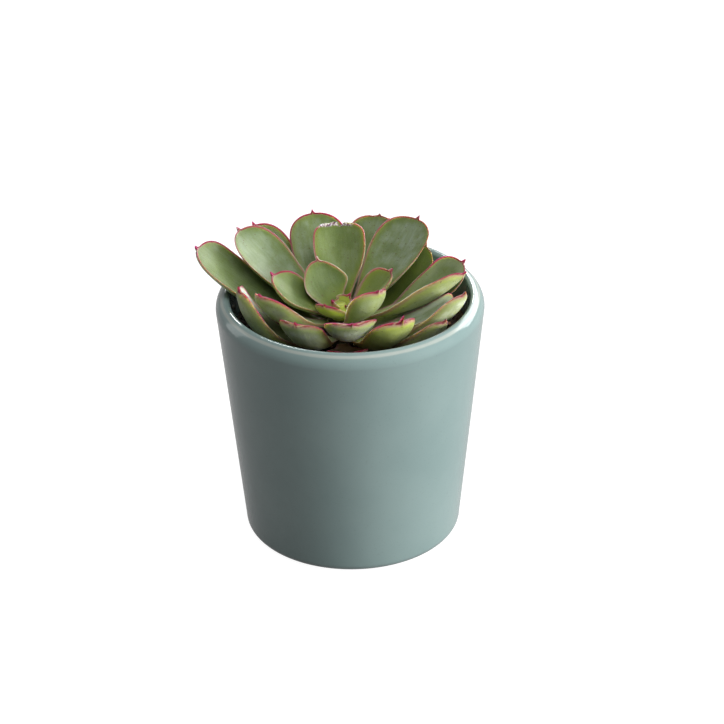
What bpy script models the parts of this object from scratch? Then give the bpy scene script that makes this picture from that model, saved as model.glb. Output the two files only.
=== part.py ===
"""Potted succulent: a rosette of fleshy leaves on a short stem, in soil, in a glazed round pot.

Constants are in millimetres and degrees, the objects in metres. The origin is the centre of the pot's
base, +Z is up, and the usual view looks along +Y. A leaf's azimuth is counted from +X towards +Y.
"""
from collections import namedtuple

import bmesh
import bpy
import numpy as np
from mathutils import Vector

MM = 0.001

# Clearance between pieces that touch
GAP = 0.3

# Pot
RIM_RADIUS = 45.0
POT_HEIGHT = 87.5
BASE_RADIUS = 36.8
BASE_FILLET = 3.0
LIP_ROUND = 5.3
LIP_TURN = 60.0
MOUTH_RADIUS = 40.2
FLOOR_HEIGHT = 6.0
FLOOR_RADIUS = 31.5
FLOOR_FILLET = 4.0
POT_SEGMENTS = 64
ARC_STEPS = 4

# Soil: its top is a shallow dish, highest at the wall
SOIL_EDGE_HEIGHT = 75.5
SOIL_DISH_HEIGHT = 69.6
SOIL_DISH_RADIUS = 18.0
SOIL_SEGMENTS = 40
DISH_STEPS = 4
SOIL_BUMP = 0.35
SOIL_WAVE_X = 2.75
SOIL_WAVE_Y = 3.2
SOIL_SMOOTH_EDGE = 1.0

# Stem, on the rosette's own axis, which stands a little off the pot's
ROSETTE_X = -3.0
ROSETTE_Y = -3.0
STEM_BOTTOM = 60.0
STEM_SEGMENTS = 20
STEM_HOLE_DEPTH = 30.0
STEM_RADIUS = 4.6
STEM_PROFILE = [(STEM_RADIUS, 79.0), (4.3, 79.6), (3.4, 80.0)]

# Leaf mesh: rings from root to tip, closer together towards the tip, and points across each face
LEAF_RINGS = 15
FACE_POINTS = 6
RING_CROWDING = 1.9
LAST_RING = 0.9
PATH_STEPS = 120

# Leaf outline: how it widens from the root, and its short spike
OUTLINE_SWELL = 1.6
MUCRO_HALF_WIDTH = 0.7

# Leaf thickness, and shares of its length where thickness, cup and roll are full
ROOT_THICKNESS_SHARE = 0.45
FULL_THICKNESS_AT = 0.6
END_TAPER = 0.4
END_ROUNDING = 0.7
END_THICKNESS_SHARE = 0.25
MARGIN_THICKNESS = 0.7
MARGIN_SQUARENESS = 6
KEEL_BREADTH = 2.2
KEEL_ROUNDING = 0.75
FULL_CUP_AT = 0.3
ROOT_CUP_SHARE = 0.3
FULL_ROLL_AT = 0.5

Leaf = namedtuple(
    "Leaf",
    "name azimuth reach tip_height curl width root_height root_radius roll bow cup thickness "
    "root_share widest blunt mucro",
)

# Reach is the tip's distance from the rosette's axis, curl how far the midrib turns up from root to tip,
# roll the turn about the midrib, bow the sideways bend, cup the rise of the margins over the half width.
# Root share is the root's width over the leaf's, widest the share of the length where the leaf is widest,
# blunt the power of its rounded end (2 is an ellipse) and mucro the length of the spike.
LEAF_ROWS = [
    ("outer_leaf_01", 166.6, 50.0, 101.7, 34.0, 20.6, 76.6, 5.0, 0.0, 0.0, 0.20, 3.4, 0.24, 0.76, 3.4, 1.5),
    ("outer_leaf_02", 131.6, 45.0, 99.2, 34.0, 17.6, 73.5, 5.0, 0.0, 0.0, 0.20, 3.2, 0.26, 0.74, 2.8, 1.5),
    ("outer_leaf_03", 103.5, 41.0, 100.5, 32.0, 20.0, 76.0, 5.0, 0.0, 0.0, 0.20, 3.4, 0.26, 0.72, 2.8, 1.5),
    ("outer_leaf_04", 71.0, 42.0, 98.5, 40.0, 18.5, 74.0, 5.0, 0.0, 0.0, 0.20, 3.2, 0.26, 0.78, 3.5, 0.8),
    ("outer_leaf_05", 43.0, 40.0, 93.6, 64.0, 16.0, 71.4, 5.0, 6.0, 0.0, 0.20, 3.0, 0.22, 0.72, 2.4, 1.5),
    ("outer_leaf_06", 18.0, 44.0, 94.0, 40.0, 17.0, 73.1, 5.0, 10.0, 0.0, 0.22, 3.2, 0.20, 0.80, 2.6, 1.5),
    ("outer_leaf_07", 342.0, 43.0, 96.1, 64.0, 14.0, 73.4, 5.0, -21.0, 0.0, 0.18, 2.9, 0.18, 0.76, 2.8, 1.5),
    ("outer_leaf_08", 330.5, 39.5, 89.2, 60.0, 11.0, 71.5, 5.0, -25.0, 0.0, 0.20, 3.0, 0.26, 0.76, 2.6, 1.5),
    ("outer_leaf_09", 275.0, 29.0, 82.4, 30.0, 14.0, 72.4, 5.0, 0.0, 0.0, 0.20, 2.8, 0.30, 0.78, 3.0, 1.5),
    ("outer_leaf_10", 202.5, 36.0, 99.4, 77.0, 17.0, 71.3, 5.0, -6.0, 0.0, 0.32, 3.3, 0.26, 0.72, 2.4, 1.5),
    ("middle_leaf_01", 145.0, 42.5, 102.0, 27.0, 19.5, 79.9, 5.0, 0.0, 0.0, 0.22, 3.5, 0.26, 0.72, 2.8, 1.5),
    ("middle_leaf_02", 91.0, 29.0, 101.6, 22.0, 17.6, 81.2, 4.5, 0.0, 0.0, 0.22, 3.4, 0.32, 0.72, 4.0, 0.5),
    ("middle_leaf_03", 49.0, 41.0, 102.0, 25.0, 20.5, 79.6, 5.0, 0.0, 0.0, 0.22, 3.6, 0.24, 0.74, 2.8, 1.5),
    ("middle_leaf_04", 4.8, 42.0, 94.7, 32.5, 13.2, 79.7, 5.9, -36.0, 0.0, 0.24, 2.5, 0.20, 0.74, 2.6, 1.5),
    ("middle_leaf_05", 348.4, 39.0, 90.8, 42.0, 14.8, 75.1, 5.0, -1.0, 0.0, 0.20, 2.5, 0.20, 0.78, 3.0, 1.5),
    ("middle_leaf_06", 308.0, 33.0, 94.4, 65.0, 17.6, 74.8, 5.0, -8.0, 0.0, 0.20, 3.4, 0.18, 0.78, 2.2, 3.4),
    ("middle_leaf_07", 277.0, 30.0, 93.9, 34.0, 17.3, 78.4, 5.0, 0.0, 0.0, 0.20, 3.3, 0.26, 0.84, 3.2, 1.5),
    ("middle_leaf_08", 235.4, 26.8, 90.5, 60.0, 17.2, 74.4, 5.0, 6.0, 0.0, 0.20, 3.3, 0.26, 0.80, 3.3, 1.5),
    ("middle_leaf_09", 210.0, 31.0, 97.6, 54.0, 16.4, 79.8, 5.0, 14.0, 0.0, 0.20, 3.1, 0.24, 0.72, 2.3, 1.5),
    ("inner_leaf_01", 170.6, 23.6, 95.4, 25.0, 15.6, 81.5, 4.6, -6.0, 1.5, 0.25, 2.7, 0.26, 0.66, 2.4, 1.5),
    ("inner_leaf_02", 120.0, 15.5, 96.0, 20.0, 16.0, 83.3, 3.2, -4.0, 1.2, 0.28, 2.8, 0.48, 0.44, 1.5, 1.5),
    ("inner_leaf_03", 32.0, 20.5, 92.5, 25.0, 11.0, 82.0, 4.0, 0.0, 0.0, 0.35, 2.8, 0.36, 0.70, 2.6, 1.5),
    ("inner_leaf_04", 316.6, 17.0, 96.2, 26.0, 13.8, 80.2, 4.4, -12.0, 0.0, 0.30, 2.8, 0.64, 0.64, 2.4, 0.9),
]
LEAVES = [Leaf(*row) for row in LEAF_ROWS]

# The bud: one leaf that has begun to open, then small ones one golden angle apart round the growing
# point, each smaller than the last, all grown from a short core
BUD_OPEN_LEAF = Leaf(
    "bud_open_leaf", 237.0, 10.2, 89.7, 32.0, 12.8, 81.7, 2.4, 4.0, 0.0, 0.14, 1.9, 0.44, 0.50, 1.25, 1.2,
)
BUD_CORE_PROFILE = [(2.0, 85.0), (2.6, 83.0), (3.6, 81.4), (3.6, 80.3)]
BUD_CORE_SEGMENTS = 16
GOLDEN_ANGLE = 137.5
BUD_LEAVES = 4
BUD_FIRST_AZIMUTH = 40.0
BUD_FOOT = 84.0
BUD_ROOT_RADIUS = 0.2
BUD_RINGS = 8
BUD_FACE_POINTS = 4
BUD_REACH = 4.0
BUD_REACH_STEP = 0.9
BUD_TIP_HEIGHT = 87.6
BUD_TIP_STEP = 1.1
BUD_WIDTH = 6.8
BUD_WIDTH_STEP = 1.0
BUD_THICKNESS = 2.2
BUD_THICKNESS_STEP = 0.2


def unit(vectors):
    """Scale each row to length one."""
    return vectors / np.linalg.norm(vectors, axis=-1, keepdims=True)


def half_width(leaf, length, shares):
    """Half width of the blade, with its short pointed tip, at shares of the leaf's length."""
    along = shares * length
    blade = length - leaf.mucro
    place = along / blade
    growing = np.clip(place / leaf.widest, 0.0, 1.0)
    body = leaf.root_share + (1.0 - leaf.root_share) * np.sin(0.5 * np.pi * growing) ** OUTLINE_SWELL
    rounding = np.clip((place - leaf.widest) / (1.0 - leaf.widest), 0.0, 1.0)
    body = body * np.sqrt(np.clip(1.0 - rounding ** leaf.blunt, 0.0, 1.0)) * leaf.width / 2.0
    spike = MUCRO_HALF_WIDTH * np.clip((length - along) / leaf.mucro, 0.0, 1.0)
    near_tip = along > blade - leaf.mucro
    return np.where(near_tip, np.hypot(body, spike), body)


def leaf_path(leaf, shares):
    """Midrib points, sideways directions, upward directions and the length of one leaf."""
    azimuth = np.radians(leaf.azimuth)
    outward = np.array([np.cos(azimuth), np.sin(azimuth), 0.0])
    sideways = np.array([-np.sin(azimuth), np.cos(azimuth), 0.0])
    upward = np.array([0.0, 0.0, 1.0])
    run = leaf.reach - leaf.root_radius
    rise = leaf.tip_height - leaf.root_height
    curl = np.radians(leaf.curl)
    length = np.hypot(run, rise) * (curl / 2.0) / np.sin(curl / 2.0)
    steps = np.linspace(0.0, 1.0, PATH_STEPS + 1)
    slope = np.arctan2(rise, run) - curl / 2.0 + curl * steps
    out_rate = np.cos(slope)
    up_rate = np.sin(slope)
    side_rate = leaf.bow * 4.0 * (1.0 - 2.0 * steps) / length
    step = length / PATH_STEPS
    out = np.concatenate([[0.0], np.cumsum((out_rate[1:] + out_rate[:-1]) / 2.0)]) * step
    up = np.concatenate([[0.0], np.cumsum((up_rate[1:] + up_rate[:-1]) / 2.0)]) * step
    side = leaf.bow * 4.0 * steps * (1.0 - steps)
    root = np.array([ROSETTE_X, ROSETTE_Y, leaf.root_height]) + leaf.root_radius * outward
    points = root + np.outer(out, outward) + np.outer(up, upward) + np.outer(side, sideways)
    ahead = np.outer(out_rate, outward) + np.outer(up_rate, upward) + np.outer(side_rate, sideways)
    points = np.stack([np.interp(shares, steps, points[:, axis]) for axis in range(3)], 1)
    ahead = unit(np.stack([np.interp(shares, steps, ahead[:, axis]) for axis in range(3)], 1))
    across = unit(sideways - (ahead @ sideways)[:, None] * ahead)
    normal = np.cross(ahead, across)
    roll = np.radians(leaf.roll) * np.clip(shares / FULL_ROLL_AT, 0.0, 1.0)[:, None]
    rolled_across = np.cos(roll) * across + np.sin(roll) * normal
    rolled_normal = np.cos(roll) * normal - np.sin(roll) * across
    return points, rolled_across, rolled_normal, length


def leaf_thickness(leaf, shares):
    """Thickness along the midrib at shares of the leaf's length."""
    root = ROOT_THICKNESS_SHARE * leaf.thickness
    grown = np.sin(0.5 * np.pi * np.clip(shares / FULL_THICKNESS_AT, 0.0, 1.0))
    end = np.clip((1.0 - shares) / END_TAPER, 0.0, 1.0) ** END_ROUNDING
    taper = END_THICKNESS_SHARE + (1.0 - END_THICKNESS_SHARE) * end
    return (root + (leaf.thickness - root) * grown) * taper


def leaf_heights(leaf, half, thickness, share, across):
    """Heights of the upper and the lower face over the midrib, across the blade from -1 to 1."""
    cup = leaf.cup * np.clip(share / FULL_CUP_AT, ROOT_CUP_SHARE, 1.0)
    upper = cup * half * across ** 2
    margin = min(MARGIN_THICKNESS, thickness / 2.0)
    keel = np.clip(1.0 - np.abs(across) ** KEEL_BREADTH, 0.0, 1.0) ** KEEL_ROUNDING
    edge = 1.0 - np.abs(across) ** MARGIN_SQUARENESS
    lower = upper - margin * edge - (thickness - margin) * keel
    return upper, lower


def ring_shares(count):
    """Places of the rings along a leaf, closer together towards the tip."""
    steps = np.linspace(0.0, 1.0, count)
    return 1.0 - (1.0 - steps) ** RING_CROWDING


def leaf_rings(leaf, rings, face_points):
    """Rings of points round the blade from root to tip, and the tip's own point."""
    _, _, _, length = leaf_path(leaf, np.zeros(1))
    last = 1.0 - leaf.mucro * LAST_RING / length
    shares = ring_shares(rings) * last
    points, across, normal, length = leaf_path(leaf, np.append(shares, 1.0))
    halves = half_width(leaf, length, shares)
    thicknesses = leaf_thickness(leaf, shares)
    spread = np.sin(np.linspace(-0.5 * np.pi, 0.5 * np.pi, face_points + 1))
    back = spread[1:-1][::-1]
    result = []
    for index, share in enumerate(shares):
        half = halves[index]
        upper, _ = leaf_heights(leaf, half, thicknesses[index], share, spread)
        _, lower = leaf_heights(leaf, half, thicknesses[index], share, back)
        top = np.outer(spread * half, across[index]) + np.outer(upper, normal[index])
        bottom = np.outer(back * half, across[index]) + np.outer(lower, normal[index])
        result.append(points[index] + np.concatenate([top, bottom]))
    return result, points[-1]


def loft(name, rings, tip):
    """One closed mesh through rings of points, capped at the root and drawn to a point at the tip."""
    shell = bmesh.new()
    loops = [[shell.verts.new(point * MM) for point in ring] for ring in rings]
    count = len(loops[0])
    for lower, upper in zip(loops, loops[1:]):
        for place in range(count):
            after = (place + 1) % count
            shell.faces.new((lower[place], lower[after], upper[after]))
            shell.faces.new((lower[place], upper[after], upper[place]))
    root_centre = shell.verts.new(rings[0].mean(axis=0) * MM)
    tip_point = shell.verts.new(tip * MM)
    for place in range(count):
        after = (place + 1) % count
        shell.faces.new((root_centre, loops[0][after], loops[0][place]))
        shell.faces.new((tip_point, loops[-1][place], loops[-1][after]))
    bmesh.ops.recalc_face_normals(shell, faces=shell.faces)
    mesh = bpy.data.meshes.new(name)
    shell.to_mesh(mesh)
    shell.free()
    mesh.shade_smooth()
    return mesh


def add_object(name, mesh, collection, colour):
    """Put a mesh in a collection as an object with its own material."""
    made = bpy.data.objects.new(name, mesh)
    collection.objects.link(made)
    mesh.materials.clear()
    mesh.materials.append(material(name, *colour))
    return made


def material(name, red, green, blue, roughness):
    """A Principled material of one colour."""
    made = bpy.data.materials.new(name + "_material")
    made.use_nodes = True
    shader = made.node_tree.nodes["Principled BSDF"]
    shader.inputs["Base Color"].default_value = (red, green, blue, 1.0)
    shader.inputs["Roughness"].default_value = roughness
    shader.inputs["Metallic"].default_value = 0.0
    return made


def arc(centre_x, centre_z, radius, start, end):
    """Points of an arc in the XZ plane, angles in degrees from +X towards +Z."""
    angles = np.radians(np.linspace(start, end, ARC_STEPS + 1))
    return [(centre_x + radius * np.cos(a), centre_z + radius * np.sin(a)) for a in angles]


def turned(name, profile, segments, collection, colour):
    """Turn a profile that runs from the axis, out and down its outer side, and back to the axis."""
    mesh = bpy.data.meshes.new(name)
    points = [(x * MM, 0.0, z * MM) for x, z in profile]
    edges = [(index, index + 1) for index in range(len(points) - 1)]
    mesh.from_pydata(points, edges, [])
    made = add_object(name, mesh, collection, colour)
    screw = made.modifiers.new("Turn", "SCREW")
    screw.axis = "Z"
    screw.angle = 2.0 * np.pi
    screw.steps = segments
    screw.render_steps = segments
    screw.use_merge_vertices = True
    screw.merge_threshold = 0.00005
    screw.use_smooth_shade = True
    return made


def flatten_modifiers(made):
    """Replace an object's mesh by its evaluated mesh and remove its modifiers."""
    graph = bpy.context.evaluated_depsgraph_get()
    mesh = bpy.data.meshes.new_from_object(made.evaluated_get(graph))
    mesh.name = made.name
    made.modifiers.clear()
    made.data = mesh


def lip_arcs():
    """Centres and radii of the lip's inner and outer arc, which meet at LIP_TURN."""
    turn = np.radians(LIP_TURN)
    outer_x = RIM_RADIUS - LIP_ROUND
    inner = (outer_x + LIP_ROUND * np.cos(turn) - MOUTH_RADIUS) / (1.0 + np.cos(turn))
    inner_x = MOUTH_RADIUS + inner
    inner_z = POT_HEIGHT - inner
    outer_z = inner_z - (LIP_ROUND - inner) * np.sin(turn)
    return (inner_x, inner_z, inner), (outer_x, outer_z, LIP_ROUND)


def wall_radius(height):
    """Inner radius of the pot's wall at a height."""
    top = lip_arcs()[0][1]
    foot = FLOOR_HEIGHT + FLOOR_FILLET
    return FLOOR_RADIUS + (MOUTH_RADIUS - FLOOR_RADIUS) * (height - foot) / (top - foot)


def make_pot(collection):
    """The glazed pot: a tapered wall with a rounded lip and a flat base."""
    inner_lip, outer_lip = lip_arcs()
    profile = [(0.0, FLOOR_HEIGHT)]
    profile += arc(FLOOR_RADIUS - FLOOR_FILLET, FLOOR_HEIGHT + FLOOR_FILLET, FLOOR_FILLET, -90.0, 0.0)
    profile += arc(*inner_lip, 180.0, LIP_TURN)
    profile += arc(*outer_lip, LIP_TURN, 0.0)[1:]
    profile += arc(BASE_RADIUS - BASE_FILLET, BASE_FILLET, BASE_FILLET, 0.0, -90.0)
    profile += [(0.0, 0.0)]
    return turned("pot", profile, POT_SEGMENTS, collection, (0.36, 0.45, 0.42, 0.18))


def make_soil(collection, cutters):
    """The potting soil: fills the pot, dished at the top, with a plain hole for the stem."""
    bottom = FLOOR_HEIGHT + GAP
    foot = FLOOR_HEIGHT + FLOOR_FILLET
    dish_steps = np.linspace(0.0, 1.0, DISH_STEPS + 1)[1:]
    profile = [(0.0, SOIL_DISH_HEIGHT), (SOIL_DISH_RADIUS / 2.0, SOIL_DISH_HEIGHT)]
    profile += [(SOIL_DISH_RADIUS, SOIL_DISH_HEIGHT)]
    edge = wall_radius(SOIL_EDGE_HEIGHT) - GAP
    for step in dish_steps:
        radius = SOIL_DISH_RADIUS + (edge - SOIL_DISH_RADIUS) * step
        profile.append((radius, SOIL_DISH_HEIGHT + (SOIL_EDGE_HEIGHT - SOIL_DISH_HEIGHT) * step ** 2))
    profile += [(wall_radius(foot) - GAP, foot), (FLOOR_RADIUS - FLOOR_FILLET, bottom), (0.0, bottom)]
    soil = turned("soil", profile, SOIL_SEGMENTS, collection, (0.035, 0.024, 0.018, 0.95))
    flatten_modifiers(soil)
    roughen_soil(soil.data, edge)
    bpy.ops.mesh.primitive_cylinder_add(
        vertices=STEM_SEGMENTS,
        radius=(STEM_RADIUS + GAP) * MM,
        depth=STEM_HOLE_DEPTH * MM,
        location=(ROSETTE_X * MM, ROSETTE_Y * MM, (STEM_BOTTOM - GAP + STEM_HOLE_DEPTH / 2.0) * MM),
    )
    cutter = bpy.context.object
    cutter.name = "stem_hole_cutter"
    move_to(cutter, cutters)
    cutter.hide_render = True
    cutter.display_type = "WIRE"
    hole = soil.modifiers.new("Stem hole", "BOOLEAN")
    hole.operation = "DIFFERENCE"
    hole.object = cutter
    return soil


def roughen_soil(mesh, edge):
    """Raise and lower the soil's top in small even waves."""
    for vertex in mesh.vertices:
        x, y, z = vertex.co / MM
        radius = np.hypot(x, y)
        if z < SOIL_DISH_HEIGHT - SOIL_SMOOTH_EDGE or radius > edge - SOIL_SMOOTH_EDGE:
            continue
        wave = np.sin(x / SOIL_WAVE_X) * np.cos(y / SOIL_WAVE_Y)
        vertex.co.z += SOIL_BUMP * wave * MM


def move_to(made, collection):
    """Keep an object in one collection only."""
    for holder in list(made.users_collection):
        holder.objects.unlink(made)
    collection.objects.link(made)


def make_stem(collection):
    """The short stem that carries the leaves, standing in the soil's hole."""
    profile = [(0.0, STEM_PROFILE[-1][1])] + STEM_PROFILE[::-1]
    profile += [(STEM_RADIUS, STEM_BOTTOM), (0.0, STEM_BOTTOM)]
    stem = turned("stem", profile, STEM_SEGMENTS, collection, (0.20, 0.22, 0.09, 0.6))
    stem.location = (ROSETTE_X * MM, ROSETTE_Y * MM, 0.0)
    return stem


def make_leaves(collection):
    """Every leaf of the rosette, a node each."""
    for leaf in LEAVES:
        rings, tip = leaf_rings(leaf, LEAF_RINGS, FACE_POINTS)
        add_object(leaf.name, loft(leaf.name, rings, tip), collection, (0.22, 0.31, 0.14, 0.45))


def bud_leaf(order):
    """The shape of one of the bud's small leaves."""
    return Leaf(
        name="bud_leaf",
        azimuth=BUD_FIRST_AZIMUTH + GOLDEN_ANGLE * order,
        reach=BUD_REACH - BUD_REACH_STEP * order,
        tip_height=BUD_TIP_HEIGHT - BUD_TIP_STEP * order,
        curl=20.0,
        width=BUD_WIDTH - BUD_WIDTH_STEP * order,
        root_height=BUD_FOOT,
        root_radius=BUD_ROOT_RADIUS,
        roll=0.0,
        bow=0.0,
        cup=0.40,
        thickness=BUD_THICKNESS - BUD_THICKNESS_STEP * order,
        root_share=0.60,
        widest=0.45,
        blunt=1.6,
        mucro=1.2,
    )


def make_bud(collection):
    """The bud: its leaves and core joined in one piece."""
    pieces = bpy.data.collections.new("bud_pieces")
    bpy.context.scene.collection.children.link(pieces)
    for leaf in [BUD_OPEN_LEAF] + [bud_leaf(order) for order in range(BUD_LEAVES)]:
        rings, tip = leaf_rings(leaf, BUD_RINGS, BUD_FACE_POINTS)
        pieces.objects.link(bpy.data.objects.new("bud_piece", loft("bud_piece", rings, tip)))
    profile = [(0.0, BUD_CORE_PROFILE[0][1])] + BUD_CORE_PROFILE + [(0.0, BUD_CORE_PROFILE[-1][1])]
    bud = turned("bud", profile, BUD_CORE_SEGMENTS, collection, (0.25, 0.33, 0.10, 0.45))
    flatten_modifiers(bud)
    for vertex in bud.data.vertices:
        vertex.co += Vector((ROSETTE_X * MM, ROSETTE_Y * MM, 0.0))
    joined = bud.modifiers.new("Join", "BOOLEAN")
    joined.operation = "UNION"
    joined.operand_type = "COLLECTION"
    joined.collection = pieces
    flatten_modifiers(bud)
    for piece in list(pieces.objects):
        bpy.data.objects.remove(piece)
    bpy.data.collections.remove(pieces)
    return bud


def main():
    """Build the whole object in an emptied scene."""
    for old in list(bpy.data.objects):
        bpy.data.objects.remove(old)
    collection = bpy.data.collections.new("potted_succulent")
    cutters = bpy.data.collections.new("cutters")
    bpy.context.scene.collection.children.link(collection)
    bpy.context.scene.collection.children.link(cutters)
    make_pot(collection)
    make_soil(collection, cutters)
    make_stem(collection)
    make_leaves(collection)
    make_bud(collection)


main()
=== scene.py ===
"""Looks of the potted succulent: fine leaves with waxy bloom and red margins, glazed pot, soil and stem.

Lengths are in millimetres in the row frame and angles in degrees, unless a name says otherwise. A
leaf's azimuth is counted from +X towards +Y, and the camera stands on the -Y side.

In the materials a colour is linear red, green and blue, a NOISE is (scale, detail, roughness), and a
ramp is (start, end) or (start, end, value before, value after).
"""
from collections import namedtuple

import bmesh
import bpy
import numpy as np
from mathutils import Matrix, Vector, noise


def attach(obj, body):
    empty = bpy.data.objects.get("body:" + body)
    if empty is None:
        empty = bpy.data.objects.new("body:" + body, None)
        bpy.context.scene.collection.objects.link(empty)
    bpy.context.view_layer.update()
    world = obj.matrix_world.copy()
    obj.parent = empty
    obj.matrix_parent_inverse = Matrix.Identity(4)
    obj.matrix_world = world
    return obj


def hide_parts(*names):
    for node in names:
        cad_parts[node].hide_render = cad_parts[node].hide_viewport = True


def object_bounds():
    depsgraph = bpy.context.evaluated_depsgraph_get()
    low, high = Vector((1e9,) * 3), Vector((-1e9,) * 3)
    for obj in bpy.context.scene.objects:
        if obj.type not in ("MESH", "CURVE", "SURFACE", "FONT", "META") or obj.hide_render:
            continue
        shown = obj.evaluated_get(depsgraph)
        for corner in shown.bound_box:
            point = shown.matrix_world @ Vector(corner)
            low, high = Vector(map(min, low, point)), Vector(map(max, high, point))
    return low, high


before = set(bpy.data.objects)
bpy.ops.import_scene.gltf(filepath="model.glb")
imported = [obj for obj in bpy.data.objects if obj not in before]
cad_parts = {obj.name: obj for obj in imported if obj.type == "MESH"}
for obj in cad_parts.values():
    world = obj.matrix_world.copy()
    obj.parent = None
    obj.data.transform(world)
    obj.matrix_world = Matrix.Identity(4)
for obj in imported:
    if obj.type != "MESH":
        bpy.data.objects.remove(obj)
CAD_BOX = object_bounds()

MM = 0.001

# Camera: where the photograph was taken from, and where the pot's centre lies in its 724 x 724 frame
PHOTO_SIZE = 724
POT_CENTRE_HEIGHT = 44.0
CAMERA_DISTANCE = 1080.0
CAMERA_ELEVATION = 30.1
CAMERA_ROLL = 0.85
CAMERA_CLIP_END_M = 20.0
PIXELS_PER_MM = 2.9356
POT_CENTRE_PIXEL = (351.57, 405.2)
SENSOR_WIDTH = 36.0

# Studio lights, soft rectangles aimed at the plant
Lamp = namedtuple("Lamp", "name azimuth elevation distance_m width_m height_m watts mirrored")
LAMPS = [
    Lamp("key", -17.0, 6.0, 2.2, 1.6, 1.2, 122.0, False),
    Lamp("window", 52.0, 25.0, 1.6, 1.8, 0.8, 23.0, True),
    Lamp("window_edge", 98.0, 31.0, 1.6, 0.22, 0.45, 6.0, True),
    Lamp("top", 300.0, 68.0, 1.6, 1.5, 1.5, 27.0, False),
    Lamp("left_edge", 158.0, 15.0, 1.2, 0.4, 0.9, 1.2, True),
]
LAMP_TARGET_HEIGHT = 70.0

# World and white floor: what they give as light, in a mirror image and to the camera
WORLD_LIGHT = 0.105
WORLD_MIRRORED = 0.45
WORLD_SEEN = 1.0
SWEEP_HALF_SIZE_M = 3.0
SWEEP_GREY = (0.18, 0.18, 0.18)
SWEEP_MIRRORED = 0.25
SWEEP_SEEN = 0.95

# Pot, as in the CAD, with the place and breadth of the worn line on its lip
RIM_RADIUS = 45.0
POT_HEIGHT = 87.5
BASE_RADIUS = 36.8
BASE_FILLET = 3.0
BASE_FILLET_STEPS = 12
LIP_ROUND = 5.3
LIP_TURN = 60.0
LIP_STEPS = 28
MOUTH_RADIUS = 40.2
FLOOR_HEIGHT = 6.0
FLOOR_RADIUS = 31.5
FLOOR_FILLET = 4.0
FLOOR_FILLET_STEPS = 10
WALL_FOOT = FLOOR_HEIGHT + FLOOR_FILLET
POT_SEGMENTS = 288
GLAZE_BREAK_TURN = 50.0
GLAZE_BREAK_BREADTH = 7.0

# Soil, as in the CAD, with coarse and fine lumps on its top up to a plain ring at the wall
GAP = 0.3
SOIL_EDGE_HEIGHT = 75.5
SOIL_DISH_HEIGHT = 69.6
SOIL_DISH_RADIUS = 18.0
SOIL_RINGS = 70
SOIL_SEGMENTS = 200
SOIL_PLAIN_RING = 0.5
SOIL_TOP_TOLERANCE = 0.1
SOIL_LUMP_HEIGHT = 0.55
SOIL_LUMP_SCALE = 0.35
SOIL_FINE_SCALE = 0.9
SOIL_FINE_SHARE = 0.6

# Crumbs and bark chips on the soil, with the ranges of their sizes and flatness
Strewn = namedtuple("Strewn", "name count seed sizes flatness")
CRUMBS = Strewn("soil_crumbs", 1500, 11, (0.5, 1.3), (0.7, 1.0))
BARK_BITS = Strewn("bark_bits", 170, 23, (1.6, 4.6), (0.3, 0.6))

# Squared shares of the soil's radius where lumps lie, then a lump's turns and its shares of its size
STREWN_AREA = (0.02, 0.96)
LUMP_TURN_RADIANS = (0.0, 6.3)
LUMP_SLANT_RADIANS = (-0.5, 0.5)
LUMP_BREADTHS = (0.5, 0.9)
LUMP_ROUGHNESS = (-0.22, 0.22)
LUMP_LIFT = 0.15

# Stem and rosette axis
ROSETTE_X = -3.0
ROSETTE_Y = -3.0
STEM_BOTTOM = 60.0
STEM_SEGMENTS = 72
STEM_RADIUS = 4.6
STEM_PROFILE = [(STEM_RADIUS, 79.0), (4.3, 79.6), (3.4, 80.0)]
STEM_SKIN_TOP = 78.5
STEM_SKIN_BOTTOM = 68.0
STEM_SKIN_RINGS = 24
STEM_ROUGHNESS = 0.03
STEM_ROUGH_SCALE = 0.8

# Leaf form, as in the CAD
PATH_STEPS = 120
OUTLINE_SWELL = 1.6
MUCRO_HALF_WIDTH = 0.7
ROOT_THICKNESS_SHARE = 0.45
FULL_THICKNESS_AT = 0.6
END_TAPER = 0.4
END_ROUNDING = 0.7
END_THICKNESS_SHARE = 0.25
MARGIN_THICKNESS = 0.7
MARGIN_SQUARENESS = 6
KEEL_BREADTH = 2.2
KEEL_ROUNDING = 0.75
FULL_CUP_AT = 0.3
ROOT_CUP_SHARE = 0.3
FULL_ROLL_AT = 0.5
RING_CROWDING = 1.9

# Leaf mesh and its small relief
LEAF_RINGS = 84
FACE_POINTS = 28
LAST_RING = 0.985
OUTLINE_POINTS = 160
OUTLINE_CROWDING = 1.8
RIM_BREADTH = 1.3
RIM_DIP = 0.4
RELIEF_SIZE = 0.26
RELIEF_STRETCH = 0.45
RELIEF_HEIGHT = 0.20
RELIEF_SEED_STEP = 9.7
RELIEF_MARGIN_FADE = 2.0
RELIEF_ROOT_FADE = 0.25
WAVE_HEIGHT = 0.45
WAVE_LENGTH = 9.0
WAVE_SEED_RATE = 0.37
WAVE_SIDE_SEEDS = (0.0, 5.0)
FOLD_SOFTNESS = 0.02
FOLD_LIFT = 0.14
NOTCH_REACH = 4.0

Leaf = namedtuple(
    "Leaf",
    "name azimuth reach tip_height curl width root_height root_radius roll bow cup thickness "
    "root_share widest blunt mucro",
)

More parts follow.
